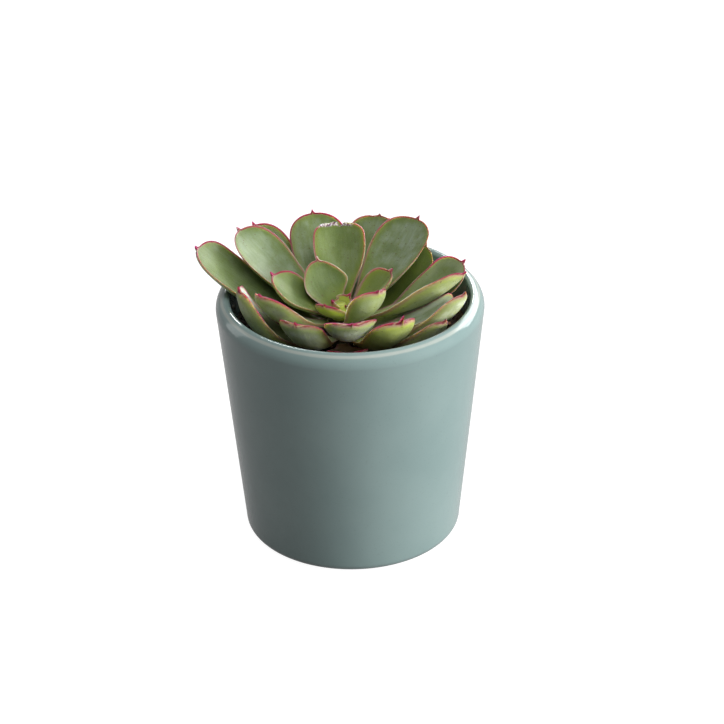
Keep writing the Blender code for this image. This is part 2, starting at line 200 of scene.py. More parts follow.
# The same rows as in the CAD source
LEAF_ROWS = [
    ("outer_leaf_01", 166.6, 50.0, 101.7, 34.0, 20.6, 76.6, 5.0, 0.0, 0.0, 0.20, 3.4, 0.24, 0.76, 3.4, 1.5),
    ("outer_leaf_02", 131.6, 45.0, 99.2, 34.0, 17.6, 73.5, 5.0, 0.0, 0.0, 0.20, 3.2, 0.26, 0.74, 2.8, 1.5),
    ("outer_leaf_03", 103.5, 41.0, 100.5, 32.0, 20.0, 76.0, 5.0, 0.0, 0.0, 0.20, 3.4, 0.26, 0.72, 2.8, 1.5),
    ("outer_leaf_04", 71.0, 42.0, 98.5, 40.0, 18.5, 74.0, 5.0, 0.0, 0.0, 0.20, 3.2, 0.26, 0.78, 3.5, 0.8),
    ("outer_leaf_05", 43.0, 40.0, 93.6, 64.0, 16.0, 71.4, 5.0, 6.0, 0.0, 0.20, 3.0, 0.22, 0.72, 2.4, 1.5),
    ("outer_leaf_06", 18.0, 44.0, 94.0, 40.0, 17.0, 73.1, 5.0, 10.0, 0.0, 0.22, 3.2, 0.20, 0.80, 2.6, 1.5),
    ("outer_leaf_07", 342.0, 43.0, 96.1, 64.0, 14.0, 73.4, 5.0, -21.0, 0.0, 0.18, 2.9, 0.18, 0.76, 2.8, 1.5),
    ("outer_leaf_08", 330.5, 39.5, 89.2, 60.0, 11.0, 71.5, 5.0, -25.0, 0.0, 0.20, 3.0, 0.26, 0.76, 2.6, 1.5),
    ("outer_leaf_09", 275.0, 29.0, 82.4, 30.0, 14.0, 72.4, 5.0, 0.0, 0.0, 0.20, 2.8, 0.30, 0.78, 3.0, 1.5),
    ("outer_leaf_10", 202.5, 36.0, 99.4, 77.0, 17.0, 71.3, 5.0, -6.0, 0.0, 0.32, 3.3, 0.26, 0.72, 2.4, 1.5),
    ("middle_leaf_01", 145.0, 42.5, 102.0, 27.0, 19.5, 79.9, 5.0, 0.0, 0.0, 0.22, 3.5, 0.26, 0.72, 2.8, 1.5),
    ("middle_leaf_02", 91.0, 29.0, 101.6, 22.0, 17.6, 81.2, 4.5, 0.0, 0.0, 0.22, 3.4, 0.32, 0.72, 4.0, 0.5),
    ("middle_leaf_03", 49.0, 41.0, 102.0, 25.0, 20.5, 79.6, 5.0, 0.0, 0.0, 0.22, 3.6, 0.24, 0.74, 2.8, 1.5),
    ("middle_leaf_04", 4.8, 42.0, 94.7, 32.5, 13.2, 79.7, 5.9, -36.0, 0.0, 0.24, 2.5, 0.20, 0.74, 2.6, 1.5),
    ("middle_leaf_05", 348.4, 39.0, 90.8, 42.0, 14.8, 75.1, 5.0, -1.0, 0.0, 0.20, 2.5, 0.20, 0.78, 3.0, 1.5),
    ("middle_leaf_06", 308.0, 33.0, 94.4, 65.0, 17.6, 74.8, 5.0, -8.0, 0.0, 0.20, 3.4, 0.18, 0.78, 2.2, 3.4),
    ("middle_leaf_07", 277.0, 30.0, 93.9, 34.0, 17.3, 78.4, 5.0, 0.0, 0.0, 0.20, 3.3, 0.26, 0.84, 3.2, 1.5),
    ("middle_leaf_08", 235.4, 26.8, 90.5, 60.0, 17.2, 74.4, 5.0, 6.0, 0.0, 0.20, 3.3, 0.26, 0.80, 3.3, 1.5),
    ("middle_leaf_09", 210.0, 31.0, 97.6, 54.0, 16.4, 79.8, 5.0, 14.0, 0.0, 0.20, 3.1, 0.24, 0.72, 2.3, 1.5),
    ("inner_leaf_01", 170.6, 23.6, 95.4, 25.0, 15.6, 81.5, 4.6, -6.0, 1.5, 0.25, 2.7, 0.26, 0.66, 2.4, 1.5),
    ("inner_leaf_02", 120.0, 15.5, 96.0, 20.0, 16.0, 83.3, 3.2, -4.0, 1.2, 0.28, 2.8, 0.48, 0.44, 1.5, 1.5),
    ("inner_leaf_03", 32.0, 20.5, 92.5, 25.0, 11.0, 82.0, 4.0, 0.0, 0.0, 0.35, 2.8, 0.36, 0.70, 2.6, 1.5),
    ("inner_leaf_04", 316.6, 17.0, 96.2, 26.0, 13.8, 80.2, 4.4, -12.0, 0.0, 0.30, 2.8, 0.64, 0.64, 2.4, 0.9),
]
LEAVES = [Leaf(*row) for row in LEAF_ROWS]

# Depth of the fold along a leaf's midrib, as a share of its half width
FOLDS = {
    "middle_leaf_01": 0.05,
    "middle_leaf_02": 0.17,
    "middle_leaf_03": 0.07,
    "middle_leaf_04": 0.10,
    "inner_leaf_01": 0.06,
    "inner_leaf_03": 0.10,
}

# Torn places at a leaf's end: place aside of the midrib, half breadth and depth of each
NOTCHES = {
    "middle_leaf_02": [(-0.5, 0.9, 2.4), (-3.4, 1.6, 0.5), (3.4, 1.3, 0.7)],
    "outer_leaf_01": [(0.8, 0.6, 0.6)],
    "outer_leaf_04": [(2.2, 0.8, 0.5), (-3.0, 0.8, 0.4)],
    "outer_leaf_10": [(1.2, 0.6, 0.5)],
}
SCARRED_LEAF = "middle_leaf_02"

# The bud, as in the CAD
BUD_OPEN_LEAF = Leaf(
    "bud_open_leaf", 237.0, 10.2, 89.7, 32.0, 12.8, 81.7, 2.4, 4.0, 0.0, 0.14, 1.9, 0.44, 0.50, 1.25, 1.2,
)
BUD_CORE_PROFILE = [(2.0, 85.0), (2.6, 83.0), (3.6, 81.4), (3.6, 80.3)]
BUD_CORE_SEGMENTS = 32
GOLDEN_ANGLE = 137.5
BUD_LEAVES = 4
BUD_FIRST_AZIMUTH = 40.0
BUD_FOOT = 84.0
BUD_ROOT_RADIUS = 0.2
BUD_REACH = 4.0
BUD_REACH_STEP = 0.9
BUD_TIP_HEIGHT = 87.6
BUD_TIP_STEP = 1.1
BUD_WIDTH = 6.8
BUD_WIDTH_STEP = 1.0
BUD_THICKNESS = 2.2
BUD_THICKNESS_STEP = 0.2

# How far the bud's parts have the bright yellow-green of new growth, made brighter than its own as painted
# light against the shade in the rosette's heart
YOUNG_AND_PAINTED_LIGHT = {"bud_open_leaf": 1.0, "bud_leaf": 0.6, "bud_core": 0.6}

Look = namedtuple("Look", "bloom blush yellow flush pale_edge")

# Each leaf's bloom (its wax, partly painted light: raised on leaves in shade, lowered on leaves in the key),
# red margin, yellow in the green, red all over and painted highlight beside the upper margin, from 0 to 1
LOOKS = {
    "outer_leaf_01": Look(0.25, 1.00, 0.00, 0.00, 0.00),
    "outer_leaf_02": Look(0.75, 1.00, 0.35, 0.00, 0.00),
    "outer_leaf_03": Look(0.60, 1.00, 0.25, 0.00, 0.00),
    "outer_leaf_04": Look(0.60, 0.90, 0.25, 0.00, 0.00),
    "outer_leaf_05": Look(0.05, 0.60, 0.20, 0.00, 0.00),
    "outer_leaf_06": Look(0.45, 1.00, 0.25, 0.00, 0.20),
    "outer_leaf_07": Look(0.90, 0.90, 0.30, 0.05, 0.50),
    "outer_leaf_08": Look(1.00, 0.90, 0.30, 0.10, 0.80),
    "outer_leaf_09": Look(0.20, 1.00, 0.15, 0.75, 0.00),
    "outer_leaf_10": Look(0.35, 1.00, 0.20, 0.05, 1.00),
    "middle_leaf_01": Look(0.55, 0.90, 0.00, 0.00, 0.00),
    "middle_leaf_02": Look(0.28, 0.90, 0.20, 0.00, 0.00),
    "middle_leaf_03": Look(0.72, 0.90, 0.20, 0.00, 0.00),
    "middle_leaf_04": Look(0.35, 1.00, 0.35, 0.00, 1.00),
    "middle_leaf_05": Look(0.90, 1.00, 0.20, 0.00, 0.90),
    "middle_leaf_06": Look(0.10, 1.00, 0.60, 0.00, 0.60),
    "middle_leaf_07": Look(0.80, 1.00, 0.15, 0.00, 1.00),
    "middle_leaf_08": Look(0.80, 1.00, 0.25, 0.00, 1.00),
    "middle_leaf_09": Look(0.50, 1.00, 0.30, 0.00, 1.00),
    "inner_leaf_01": Look(0.20, 1.00, 0.05, 0.00, 0.00),
    "inner_leaf_02": Look(0.22, 0.80, 0.00, 0.00, 0.00),
    "inner_leaf_03": Look(0.15, 0.90, 0.45, 0.00, 0.00),
    "inner_leaf_04": Look(0.30, 1.00, 0.20, 0.00, 0.30),
}
BUD_LOOK = Look(0.30, 1.00, 1.00, 0.00, 0.00)

# Leaf skin: the green flesh, plain and yellow, and the wax over it, on the upper and the lower face; the
# lower face's colours are its own paler green made paler still as painted light, lifting undersides that lie
# in shade
UPPER_FLESH = (0.085, 0.125, 0.022)
UPPER_FLESH_YELLOW = (0.190, 0.238, 0.010)
LOWER_FLESH_AND_PAINTED_LIGHT = (0.290, 0.350, 0.120)
LOWER_FLESH_YELLOW_AND_PAINTED_LIGHT = (0.340, 0.390, 0.055)
UPPER_WAX = (0.234, 0.288, 0.200)
LOWER_WAX_AND_PAINTED_LIGHT = (0.620, 0.680, 0.500)
PATCH_NOISE = (0.16, 3.0, 0.55)
STREAK_NOISE = (0.9, 3.0, 0.6)
STREAK_STRETCH = 0.18
YELLOW_AT_MARGIN = (0.4, 2.6, 0.15, 0.0)
YELLOW_AT_ROOT = (0.08, 0.5, 0.35, 0.0)
YELLOW_PATCHES = 0.9
BLOOM_AT_MARGIN = (0.5, 3.2, 0.25, 1.0)
BLOOM_AT_ROOT = (0.08, 0.5, 0.35, 1.0)
BLOOM_PATCHES = (0.35, 0.62, 0.45, 1.2)
BLOOM_STREAKS = (0.35, 0.65, 0.75, 1.15)
BLOOM_ROUGHNESS = (0.0, 0.9, 0.38, 0.55)
SKIN_NOISE = (5.5, 2.0, 0.6)
SKIN_STREAKS = 1.6
SKIN_DEPTH = 0.05

# Layers over the green, in the order in which they lie on it
# Painted highlight: a pale band on the upper face beside the margin, in place of the sheen that grazing
# light gives there
EDGE_HIGHLIGHT_COLOUR = (0.60, 0.66, 0.55)
HIGHLIGHT_AT_MARGIN = (1.5, 4.5, 1.0, 0.0)
HIGHLIGHT_ALONG = (0.35, 0.80, 0.15, 0.85)
PORE = (0.30, 0.37, 0.25)
PORE_NOISE = (7.0, 1.0, 0.5)
PORE_AMOUNT = (0.60, 0.70, 0.0, 0.22)
FLECK = (0.10, 0.06, 0.03)
FLECK_NOISE = (1.7, 0.0, 0.5)
FLECK_AMOUNT = (0.76, 0.80, 0.0, 0.7)
GRAIN = (0.05, 0.08, 0.03)
GRAIN_NOISE = (2.6, 2.0, 0.6)
GRAIN_AMOUNT = (0.25, 0.75, 0.16, 0.0)
FLUSH = (0.22, 0.060, 0.045)
FLUSH_AMOUNT = 0.8
# New growth's yellow-green, partly painted light: brightened to lift the shaded bud
NEW_GREEN_PAINTED_LIGHT = (0.46, 0.54, 0.060)
NEW_GREEN_LIFT_AMOUNT = 0.7
MARGIN_NOISE = (0.7, 2.0, 0.5)
MARGIN_WANDER = 0.35
PINK = (0.30, 0.15, 0.16)
PINK_AT_MARGIN = (0.2, 0.95, 0.8, 0.0)
RED = (0.150, 0.005, 0.024)
RED_START = (0.0, 1.0, 0.12, 0.40)
RED_END = (0.0, 1.0, 0.36, 0.70)
RED_ALONG = (0.35, 0.80, 0.25, 1.0)
DRIED_DARK = (0.13, 0.06, 0.09)
DRIED_PALE = (0.52, 0.48, 0.51)
DRIED_NOISE = (1.5, 2.0, 0.6)
DRIED_MIX = (0.45, 0.58)
SCAR_ALONG = (0.90, 0.94)
SCAR_AT_MARGIN = (0.9, 1.7, 1.0, 0.0)
SCAR_ASIDE = (-5.5, -3.5)

# Glaze: clouded green-blue with dark specks, worn thin where the lip turns
GLAZE_DARK = (0.153, 0.219, 0.213)
GLAZE_PALE = (0.173, 0.240, 0.232)
CLOUD_NOISE = (0.035, 3.0, 0.5)
CLOUD_MIX = (0.3, 0.7)
GLAZE_SPECK = (0.10, 0.13, 0.125)
SPECK_NOISE = (1.4, 2.0, 0.5)
SPECK_AMOUNT = (0.62, 0.72, 0.0, 0.16)
WORN_GLAZE = (0.45, 0.44, 0.38)
WORN_NOISE = (0.25, 2.0, 0.5)
WORN_WANDER = 0.3
WORN_EDGE = (0.15, 0.85)
WORN_AMOUNT = 0.38
WORN_ROUGHNESS = (0.0, 1.0, 0.12, 0.22)
GLAZE_SWELL_NOISE = (0.12, 2.0, 0.5)
GLAZE_SWELL_DEPTH = 0.05

# Soil, bark and stem
SOIL_DARK = (0.012, 0.008, 0.006)
SOIL_PALE = (0.055, 0.034, 0.022)
SOIL_NOISE = (1.1, 4.0, 0.65)
SOIL_MIX = (0.3, 0.7)
SOIL_DEPTH = 0.5
BARK_DARK = (0.060, 0.028, 0.018)
BARK_PALE = (0.30, 0.14, 0.08)
BARK_NOISE = (0.8, 4.0, 0.6)
BARK_MIX = (0.35, 0.65)
BARK_FIBRE = (0.33, 0.22, 0.14)
FIBRE_NOISE = (2.0, 3.0, 0.5)
FIBRE_AMOUNT = (0.6, 0.8, 0.0, 0.4)
FIBRE_DEPTH = 0.2
STEM_DARK = (0.028, 0.030, 0.010)
STEM_PALE = (0.075, 0.065, 0.025)
STEM_NOISE = (0.6, 4.0, 0.6)
STEM_MIX = (0.3, 0.7)
STEM_DEPTH = 0.25


def unit(vectors):
    """Scale each row to length one."""
    return vectors / np.linalg.norm(vectors, axis=-1, keepdims=True)


def half_width(leaf, length, shares):
    """Half width of the blade, with its short pointed tip, at shares of the leaf's length."""
    along = shares * length
    blade = length - leaf.mucro
    place = along / blade
    growing = np.clip(place / leaf.widest, 0.0, 1.0)
    body = leaf.root_share + (1.0 - leaf.root_share) * np.sin(0.5 * np.pi * growing) ** OUTLINE_SWELL
    rounding = np.clip((place - leaf.widest) / (1.0 - leaf.widest), 0.0, 1.0)
    body = body * np.sqrt(np.clip(1.0 - rounding ** leaf.blunt, 0.0, 1.0)) * leaf.width / 2.0
    spike = MUCRO_HALF_WIDTH * np.clip((length - along) / leaf.mucro, 0.0, 1.0)
    near_tip = along > blade - leaf.mucro
    return np.where(near_tip, np.hypot(body, spike), body)


def leaf_path(leaf, shares):
    """Midrib points, sideways directions, upward directions and the length of one leaf."""
    azimuth = np.radians(leaf.azimuth)
    outward = np.array([np.cos(azimuth), np.sin(azimuth), 0.0])
    sideways = np.array([-np.sin(azimuth), np.cos(azimuth), 0.0])
    upward = np.array([0.0, 0.0, 1.0])
    run = leaf.reach - leaf.root_radius
    rise = leaf.tip_height - leaf.root_height
    curl = np.radians(leaf.curl)
    length = np.hypot(run, rise) * (curl / 2.0) / np.sin(curl / 2.0)
    steps = np.linspace(0.0, 1.0, PATH_STEPS + 1)
    slope = np.arctan2(rise, run) - curl / 2.0 + curl * steps
    out_rate = np.cos(slope)
    up_rate = np.sin(slope)
    side_rate = leaf.bow * 4.0 * (1.0 - 2.0 * steps) / length
    step = length / PATH_STEPS
    out = np.concatenate([[0.0], np.cumsum((out_rate[1:] + out_rate[:-1]) / 2.0)]) * step
    up = np.concatenate([[0.0], np.cumsum((up_rate[1:] + up_rate[:-1]) / 2.0)]) * step
    side = leaf.bow * 4.0 * steps * (1.0 - steps)
    root = np.array([ROSETTE_X, ROSETTE_Y, leaf.root_height]) + leaf.root_radius * outward
    points = root + np.outer(out, outward) + np.outer(up, upward) + np.outer(side, sideways)
    ahead = np.outer(out_rate, outward) + np.outer(up_rate, upward) + np.outer(side_rate, sideways)
    points = np.stack([np.interp(shares, steps, points[:, axis]) for axis in range(3)], 1)
    ahead = unit(np.stack([np.interp(shares, steps, ahead[:, axis]) for axis in range(3)], 1))
    across = unit(sideways - (ahead @ sideways)[:, None] * ahead)
    normal = np.cross(ahead, across)
    roll = np.radians(leaf.roll) * np.clip(shares / FULL_ROLL_AT, 0.0, 1.0)[:, None]
    rolled_across = np.cos(roll) * across + np.sin(roll) * normal
    rolled_normal = np.cos(roll) * normal - np.sin(roll) * across
    return points, rolled_across, rolled_normal, length


def leaf_thickness(leaf, shares):
    """Thickness along the midrib at shares of the leaf's length."""
    root = ROOT_THICKNESS_SHARE * leaf.thickness
    grown = np.sin(0.5 * np.pi * np.clip(shares / FULL_THICKNESS_AT, 0.0, 1.0))
    end = np.clip((1.0 - shares) / END_TAPER, 0.0, 1.0) ** END_ROUNDING
    taper = END_THICKNESS_SHARE + (1.0 - END_THICKNESS_SHARE) * end
    return (root + (leaf.thickness - root) * grown) * taper


def leaf_heights(leaf, half, thickness, share, across):
    """Heights of the upper and the lower face over the midrib, across the blade from -1 to 1."""
    cup = leaf.cup * np.clip(share / FULL_CUP_AT, ROOT_CUP_SHARE, 1.0)
    upper = cup * half * across ** 2
    margin = np.minimum(MARGIN_THICKNESS, thickness / 2.0)
    keel = np.clip(1.0 - np.abs(across) ** KEEL_BREADTH, 0.0, 1.0) ** KEEL_ROUNDING
    edge = 1.0 - np.abs(across) ** MARGIN_SQUARENESS
    lower = upper - margin * edge - (thickness - margin) * keel
    return upper, lower


def margin_distance(leaf, length, sideways, along):
    """Distance from points of the flattened blade to its outline."""
    shares = 1.0 - (1.0 - np.linspace(0.0, 1.0, OUTLINE_POINTS)) ** OUTLINE_CROWDING
    half = half_width(leaf, length, shares)
    outline = np.concatenate([np.stack([half, shares * length], 1), np.stack([-half, shares * length], 1)])
    points = np.stack([sideways, along], -1)
    steps = np.linalg.norm(points[:, None, :] - outline[None, :, :], axis=2)
    return steps.min(axis=1)


def blade_waves(leaf, shares, half, across, length):
    """Height of the blade's soft waves at its margins and of the fold along its midrib."""
    seed = leaf.azimuth * WAVE_SEED_RATE + leaf.width
    left, right = [
        np.array([noise.noise(Vector((share * length / WAVE_LENGTH, seed, side))) for share in shares])
        for side in WAVE_SIDE_SEEDS
    ]
    wave = np.where(across < 0.0, left[:, None], right[:, None]) * across ** 2 * WAVE_HEIGHT
    grown = np.sin(np.pi * np.clip(shares, 0.0, 1.0))[:, None]
    fold = FOLDS.get(leaf.name, 0.0) * half * (np.sqrt(across ** 2 + FOLD_SOFTNESS) - FOLD_LIFT)
    return (wave + fold) * grown


def notch_depth(leaf, sideways, along, length):
    """How far the torn places at a leaf's end reach back towards its root."""
    depth = np.zeros_like(sideways)
    near_end = np.clip((along - length + NOTCH_REACH) / NOTCH_REACH, 0.0, 1.0) ** 2
    for place, breadth, reach in NOTCHES.get(leaf.name, []):
        depth += reach * np.exp(-(((sideways - place) / breadth) ** 2)) * near_end
    return depth


def tube_faces(rings, count):
    """Faces round a row of rings, closed at its start and its end by the two points after the rings."""
    faces = []
    first_point, last_point, last_ring = rings * count, rings * count + 1, (rings - 1) * count
    for place in range(count):
        after = (place + 1) % count
        for ring in range(0, last_ring, count):
            faces.append((ring + place, ring + after, ring + count + after, ring + count + place))
        faces.append((first_point, after, place))
        faces.append((last_point, last_ring + place, last_ring + after))
    return faces


def leaf_shell(leaf, look, rings, face_points):
    """Points, faces and point values of one fine leaf."""
    length = leaf_path(leaf, np.zeros(1))[-1]
    last = 1.0 - leaf.mucro * (1.0 - LAST_RING) / length
    shares = (1.0 - (1.0 - np.linspace(0.0, 1.0, rings)) ** RING_CROWDING) * last
    points, across, normal, length = leaf_path(leaf, np.append(shares, 1.0))
    half = half_width(leaf, length, shares)[:, None]
    thickness = leaf_thickness(leaf, shares)[:, None]
    spread = np.sin(np.linspace(-0.5 * np.pi, 0.5 * np.pi, face_points + 1))
    around = np.concatenate([spread, spread[1:-1][::-1]])[None, :]
    is_upper = (np.arange(around.size) <= face_points)[None, :]
    upper, lower = leaf_heights(leaf, half, thickness, shares[:, None], around)
    sideways = half * around
    along = np.repeat(shares[:, None] * length, around.size, 1)
    margin = margin_distance(leaf, length, sideways.ravel(), along.ravel())
    into_rim = np.clip(margin.reshape(along.shape) / RIM_BREADTH, 0.0, 1.0)
    rim = np.sqrt(1.0 - (1.0 - into_rim) ** 2)
    dip = np.where(is_upper, RIM_DIP * (1.0 - rim), RIM_DIP + (1.0 - RIM_DIP) * rim)
    height = upper - (upper - lower) * dip + blade_waves(leaf, shares, half, around, length)
    ahead = np.cross(across, normal)[:-1, None, :]
    shell = points[:-1, None, :] + sideways[..., None] * across[:-1, None, :]
    shell = shell + height[..., None] * normal[:-1, None, :]
    shell = shell - notch_depth(leaf, sideways, along, length)[..., None] * ahead
    vertices = np.concatenate([shell.reshape(-1, 3), shell[0].mean(0)[None], points[-1][None]])
    ends = np.array([shares[0], 1.0])
    values = {
        "margin": np.append(margin, [leaf.width / 4.0, 0.0]),
        "along": np.append(np.repeat(shares, around.size), ends),
        "upper": np.append(np.tile(is_upper[0], rings), [0.5, 0.5]),
        "sideways": np.append(sideways.ravel(), [0.0, 0.0]),
        "length_mm": np.append(along.ravel(), ends * length),
    }
    whole_leaf = look._asdict()
    whole_leaf.update(scar=float(leaf.name == SCARRED_LEAF), young=YOUNG_AND_PAINTED_LIGHT.get(leaf.name, 0.0))
    values.update({key: np.full(len(vertices), number) for key, number in whole_leaf.items()})
    return vertices, tube_faces(rings, around.size), values


def relief(mesh, seed, values):
    """Raise and lower a leaf's faces in soft swells, none at its margins and root, inside the CAD's box."""
    count = len(mesh.vertices)
    points, normals = np.zeros(count * 3), np.zeros(count * 3)
    mesh.vertices.foreach_get("co", points)
    mesh.vertices.foreach_get("normal", normals)
    places = zip(values["sideways"], values["length_mm"] * RELIEF_STRETCH)
    depth = seed * RELIEF_SEED_STEP
    swell = np.array([noise.noise(Vector((x, y, depth)) * RELIEF_SIZE) for x, y in places])
    off_margin = np.clip(values["margin"] / RELIEF_MARGIN_FADE, 0.0, 1.0)
    off_root = np.clip(values["along"] / RELIEF_ROOT_FADE, 0.0, 1.0)
    heights = np.repeat(swell * off_margin * off_root * RELIEF_HEIGHT * MM, 3)
    raised = (points + normals * heights).reshape(-1, 3)
    mesh.vertices.foreach_set("co", np.clip(raised, *CAD_BOX).ravel())
    mesh.update()


def build_mesh(name, vertices, faces, values):
    """A smooth mesh with its point values as attributes."""
    mesh = bpy.data.meshes.new(name)
    mesh.from_pydata([tuple(point) for point in np.asarray(vertices) * MM], [], faces)
    mesh.validate()
    shell = bmesh.new()
    shell.from_mesh(mesh)
    bmesh.ops.recalc_face_normals(shell, faces=shell.faces)
    shell.to_mesh(mesh)
    shell.free()
    mesh.shade_smooth()
    for key, numbers in values.items():
        attribute = mesh.attributes.new(key, "FLOAT", "POINT")
        attribute.data.foreach_set("value", np.asarray(numbers, np.float32))
    return mesh


def add_object(name, data):
    """A new object in the scene."""
    thing = bpy.data.objects.new(name, data)
    bpy.context.scene.collection.objects.link(thing)
    return thing


def add_piece(name, mesh, material, replaced):
    """Show a mesh as a piece of the object, in place of a CAD node."""
    piece = add_object(name, mesh)
    mesh.materials.append(material)
    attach(piece, "root")
    if replaced:
        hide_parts(replaced)


class Shading:
    """One procedural material: adds nodes to its tree and joins them."""

    def __init__(self, name):
        self.material = bpy.data.materials.new(name)
        self.material.use_nodes = True
        self.tree = self.material.node_tree

    def put(self, socket, value):
        """Join a socket to another node's output, or set its own value."""
        if isinstance(value, bpy.types.NodeSocket):
            self.tree.links.new(value, socket)
        elif socket.type == "RGBA":
            socket.default_value = (*value, 1.0)
        else:
            socket.default_value = value

    def node(self, kind, inputs, **settings):
        """A new node with its settings, and its inputs set or joined by name or number."""
        node = self.tree.nodes.new("ShaderNode" + kind)
        for name, value in settings.items():
            setattr(node, name, value)
        for key, value in inputs.items():
            self.put(node.inputs[key], value)
        return node

    def dress(self, values):
        """Set or join the shader's own sockets, and give the material."""
        for name, value in values.items():
            self.put(self.tree.nodes["Principled BSDF"].inputs[name], value)
        return self.material

    def attribute(self, name):
        """A point value of the mesh."""
        return self.node("Attribute", {}, attribute_name=name).outputs["Fac"]

    def position(self):
        """The point's place in the row frame, in millimetres."""
        place = self.node("TexCoord", {}).outputs["Object"]
        return self.node("VectorMath", {0: place, "Scale": 1.0 / MM}, operation="SCALE").outputs[0]

    def combine(self, x, y, z):
        """A vector from three values."""
        return self.node("CombineXYZ", {0: x, 1: y, 2: z}).outputs[0]

    def noise(self, vector, scale, detail, roughness):
        """Fractal noise around one half."""
        inputs = {"Vector": vector, "Scale": scale, "Detail": detail, "Roughness": roughness}
        return self.node("TexNoise", inputs).outputs["Fac"]

    def math(self, operation, first, second):
        """One sum with two values."""
        return self.node("Math", {0: first, 1: second}, operation=operation).outputs[0]

    def times(self, product, *factors):
        """The product of some values."""
        for factor in factors:
            product = self.math("MULTIPLY", product, factor)
        return product

    def plus(self, total, *values):
        """The sum of some values."""
        for value in values:
            total = self.math("ADD", total, value)
        return total

    def swing(self, value, breadth):
        """A noise's swing around zero, made this broad."""
        return self.times(self.math("SUBTRACT", value, 0.5), breadth)

    def ramp(self, value, start, end, low=0.0, high=1.0):
        """A smooth step from low to high while a value goes from start to end."""
        inputs = {"Value": value, "From Min": start, "From Max": end, "To Min": low, "To Max": high}
        return self.node("MapRange", inputs, interpolation_type="SMOOTHSTEP").outputs[0]

    def mix(self, factor, first, second):
        """A blend of two colours."""
        return self.node("Mix", {0: factor, 6: first, 7: second}, data_type="RGBA").outputs[2]

    def bump(self, height, depth):
        """A normal tilted by a height of up to depth millimetres."""
        return self.node("Bump", {"Distance": depth * MM, "Height": height}).outputs[0]


Skin = namedtuple("Skin", "position margin rim along sideways upper patches streaks")


def leaf_skin(make):
    """The places and noises on a leaf that its colours follow; rim is its margin with a wandering edge."""
    position, margin, along = make.position(), make.attribute("margin"), make.attribute("along")
    sideways, length = make.attribute("sideways"), make.attribute("length_mm")
    wander = make.swing(make.noise(position, *MARGIN_NOISE), MARGIN_WANDER)
    stretched = make.combine(sideways, make.times(length, STREAK_STRETCH), along)
    return Skin(
        position=position,
        margin=margin,
        rim=make.plus(margin, wander),
        along=along,
        sideways=sideways,
        upper=make.attribute("upper"),
        patches=make.noise(position, *PATCH_NOISE),
        streaks=make.noise(stretched, *STREAK_NOISE),
    )


def leaf_yellow(make, skin):
    """How yellow the green is: more beside the margin and the root, and in soft patches."""
    yellow = make.plus(
        make.attribute("yellow"),
        make.ramp(skin.margin, *YELLOW_AT_MARGIN),
        make.ramp(skin.along, *YELLOW_AT_ROOT),
        make.swing(skin.patches, YELLOW_PATCHES),
    )
    return make.math("MINIMUM", make.math("MAXIMUM", yellow, 0.0), 1.0)


def leaf_bloom(make, skin):
    """How thick the wax is: thin beside the margin and the root, uneven in patches and streaks; each leaf's
    own amount is partly painted light, raised in shade and lowered in the key.
    """
    bloom = make.times(
        make.attribute("bloom"),
        make.ramp(skin.margin, *BLOOM_AT_MARGIN),
        make.ramp(skin.along, *BLOOM_AT_ROOT),
        make.ramp(skin.patches, *BLOOM_PATCHES),
        make.ramp(skin.streaks, *BLOOM_STREAKS),
    )
    return make.math("MINIMUM", bloom, 1.0)


def leaf_painted_highlight(make, skin):
    """Painted highlight: how pale the upper face is painted beside its margin, standing in for the sheen of
    grazing light there.
    """
    return make.times(
        make.attribute("pale_edge"),
        skin.upper,
        make.ramp(skin.margin, *HIGHLIGHT_AT_MARGIN),
        make.ramp(skin.along, *HIGHLIGHT_ALONG),
    )


def leaf_red(make, skin):
    """How red the margin is: a line, broader on an upper face without the painted edge highlight, weaker
    near the root.
    """
    broad = make.times(skin.upper, make.math("SUBTRACT", 1.0, make.attribute("pale_edge")))
    line = make.ramp(skin.rim, make.ramp(broad, *RED_START), make.ramp(broad, *RED_END), 1.0, 0.0)
    return make.times(line, make.attribute("blush"), make.ramp(skin.along, *RED_ALONG))


def leaf_scar(make, skin):
    """Where the scarred leaf's torn end has dried."""
    return make.times(
        make.attribute("scar"),
        make.ramp(skin.along, *SCAR_ALONG),
        make.ramp(skin.rim, *SCAR_AT_MARGIN),
        make.ramp(skin.sideways, *SCAR_ASIDE),
    )


def leaf_colour(make, skin, bloom):
    """The green with its wax, and the layers over it."""
    yellow = leaf_yellow(make, skin)
    upper_flesh = make.mix(yellow, UPPER_FLESH, UPPER_FLESH_YELLOW)
    lower_flesh_and_painted_light = make.mix(yellow, LOWER_FLESH_AND_PAINTED_LIGHT, LOWER_FLESH_YELLOW_AND_PAINTED_LIGHT)
    flesh = make.mix(skin.upper, lower_flesh_and_painted_light, upper_flesh)
    colour = make.mix(bloom, flesh, make.mix(skin.upper, LOWER_WAX_AND_PAINTED_LIGHT, UPPER_WAX))
    dried = make.ramp(make.noise(skin.position, *DRIED_NOISE), *DRIED_MIX)
    layers = [
        (leaf_painted_highlight(make, skin), EDGE_HIGHLIGHT_COLOUR),
        (make.ramp(make.noise(skin.position, *PORE_NOISE), *PORE_AMOUNT), PORE),
        (make.ramp(make.noise(skin.position, *FLECK_NOISE), *FLECK_AMOUNT), FLECK),
        (make.ramp(make.noise(skin.position, *GRAIN_NOISE), *GRAIN_AMOUNT), GRAIN),
        (make.times(make.attribute("flush"), FLUSH_AMOUNT), FLUSH),
        (make.times(make.attribute("young"), NEW_GREEN_LIFT_AMOUNT), NEW_GREEN_PAINTED_LIGHT),
        (make.times(make.ramp(skin.rim, *PINK_AT_MARGIN), make.attribute("blush")), PINK),
        (leaf_red(make, skin), RED),
        (leaf_scar(make, skin), make.mix(dried, DRIED_DARK, DRIED_PALE)),
    ]
    for amount, layer in layers:
        colour = make.mix(amount, colour, layer)
    return colour


